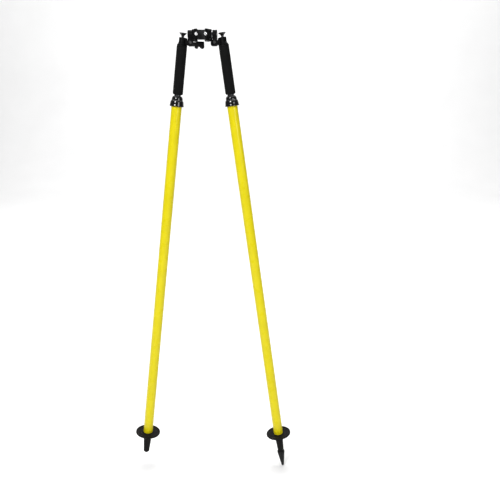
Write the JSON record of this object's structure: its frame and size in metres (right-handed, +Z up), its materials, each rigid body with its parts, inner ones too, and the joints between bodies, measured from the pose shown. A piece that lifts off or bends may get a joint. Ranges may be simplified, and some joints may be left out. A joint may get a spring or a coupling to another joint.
{
  "type": "prism pole bipod",
  "caption": "Two-legged stand for a surveying prism pole: squeeze-open pole clamp, swinging and splaying telescopic legs with thumb releases, foam grips, step plates and points.",
  "frame": {"origin": "on the axis of the clamped pole, near mid-height of the clamp", "axes": "+Z up along the clamped pole, +X to the right leg, +Y away from the side the pole is pushed in from"},
  "size_m": [0.4296, 0.071, 1.1553],
  "materials": {
    "cast_black": "satin black powder coat on die-cast aluminium",
    "pad_rubber": "dark grey moulded rubber",
    "jaw_plastic": "black glass-filled nylon, fine moulded texture",
    "bright_steel": "bright plated steel",
    "black_steel": "black oxide steel",
    "spring_steel": "bright spring wire",
    "washer_steel": "turned steel",
    "button_plastic": "black moulded plastic, thumb-worn",
    "rod_aluminium": "drawn",
    "wedge_brass": "turned",
    "collet_nylon": "natural acetal",
    "inner_anodised": "black anodised drawn tube",
    "foam": "closed-cell foam, matte black",
    "yellow_paint": "gloss lemon-yellow powder coat",
    "collar_black": "high-gloss black",
    "foot_grey": "charcoal satin coat on cast aluminium",
    "cap_rubber": "black moulded rubber"
  },
  "bodies": {
    "head": {"head_body": "cast_black", "saddle_pad": "pad_rubber", "jaw_pins": "bright_steel", "jaw_spring": "spring_steel", "swivel_bolt": "bright_steel", "swivel_nut": "bright_steel", "swivel_washers": "washer_steel"},
    "left_jaw_body": {"left_jaw": "jaw_plastic", "left_jaw_pad": "pad_rubber", "left_jaw_screw": "bright_steel"},
    "right_jaw_body": {"right_jaw": "jaw_plastic", "right_jaw_pad": "pad_rubber", "right_jaw_screw": "bright_steel"},
    "left_swivel": {"left_knuckle": "cast_black", "left_splay_pin": "black_steel"},
    "left_leg": {"left_leg_head": "cast_black", "left_button_spring": "spring_steel", "left_inner_tube": "inner_anodised", "left_foam_grip": "foam", "left_brake_collet": "collet_nylon"},
    "left_button": {"left_thumb_button": "button_plastic", "left_release_rod": "rod_aluminium", "left_brake_wedge": "wedge_brass"},
    "left_lower_leg": {"left_outer_tube": "yellow_paint", "left_collar": "collar_black", "left_foot": "foot_grey", "left_foot_point": "black_steel"},
    "right_swivel": {"right_knuckle": "cast_black", "right_splay_pin": "black_steel"},
    "right_leg": {"right_leg_head": "cast_black", "right_button_spring": "spring_steel", "right_inner_tube": "inner_anodised", "right_foam_grip": "foam", "right_brake_collet": "collet_nylon"},
    "right_button": {"right_thumb_button": "button_plastic", "right_release_rod": "rod_aluminium", "right_brake_wedge": "wedge_brass"},
    "right_lower_leg": {"right_outer_tube": "yellow_paint", "right_collar": "collar_black", "right_foot": "foot_grey", "right_foot_point": "black_steel"},
    "right_cap": {"right_point_cap": "cap_rubber"}
  },
  "joints": [
    {"name": "left_jaw_pivot", "type": "hinge", "parent": "head", "child": "left_jaw_body", "pos_m": [-0.0176, 0.0035, 0], "axis": [0, 0, -1], "range_deg": [0, 18], "stiffness_Nm_per_rad": 0.35, "springref_deg": -28.65, "deforming": ["jaw_spring"]},
    {"name": "right_jaw_pivot", "type": "hinge", "parent": "head", "child": "right_jaw_body", "pos_m": [0.0176, 0.0035, 0], "axis": [0, 0, 1], "range_deg": [0, 18]},
    {"name": "left_leg_swing", "type": "hinge", "parent": "head", "child": "left_swivel", "pos_m": [-0.029, 0.02, 0.0047], "axis": [1, 0, 0], "range_deg": [0, 90]},
    {"name": "left_leg_splay", "type": "hinge", "parent": "left_swivel", "child": "left_leg", "pos_m": [-0.028, 0.02, -0.0125], "axis": [0, 1, 0], "range_deg": [-7.4, 5.5]},
    {"name": "left_telescope", "type": "slide", "parent": "left_leg", "child": "left_lower_leg", "axis": [-0.129, 0, -0.9916], "range_m": [0, 0.68]},
    {"name": "left_thumb_press", "type": "slide", "parent": "left_leg", "child": "left_button", "axis": [-0.129, 0, -0.9916], "range_m": [0, 0.004], "stiffness_N_per_m": 900, "springref_m": -0.004, "deforming": ["left_button_spring"]},
    {"name": "right_leg_swing", "type": "hinge", "parent": "head", "child": "right_swivel", "pos_m": [0.029, 0.02, 0.0047], "axis": [1, 0, 0], "range_deg": [0, 90]},
    {"name": "right_leg_splay", "type": "hinge", "parent": "right_swivel", "child": "right_leg", "pos_m": [0.028, 0.02, -0.0125], "axis": [0, -1, 0], "range_deg": [-7.4, 5.5]},
    {"name": "right_telescope", "type": "slide", "parent": "right_leg", "child": "right_lower_leg", "axis": [0.129, 0, -0.9916], "range_m": [0, 0.68]},
    {"name": "right_thumb_press", "type": "slide", "parent": "right_leg", "child": "right_button", "axis": [0.129, 0, -0.9916], "range_m": [0, 0.004], "stiffness_N_per_m": 900, "springref_m": -0.004, "deforming": ["right_button_spring"]},
    {"name": "point_cap_pull", "type": "slide", "parent": "right_lower_leg", "child": "right_cap", "axis": [0.129, 0, -0.9916], "range_m": [0, 0.06]}
  ],
  "couplings": [
    {"joint": "right_jaw_pivot", "follows": "left_jaw_pivot", "ratio": 1}
  ]
}
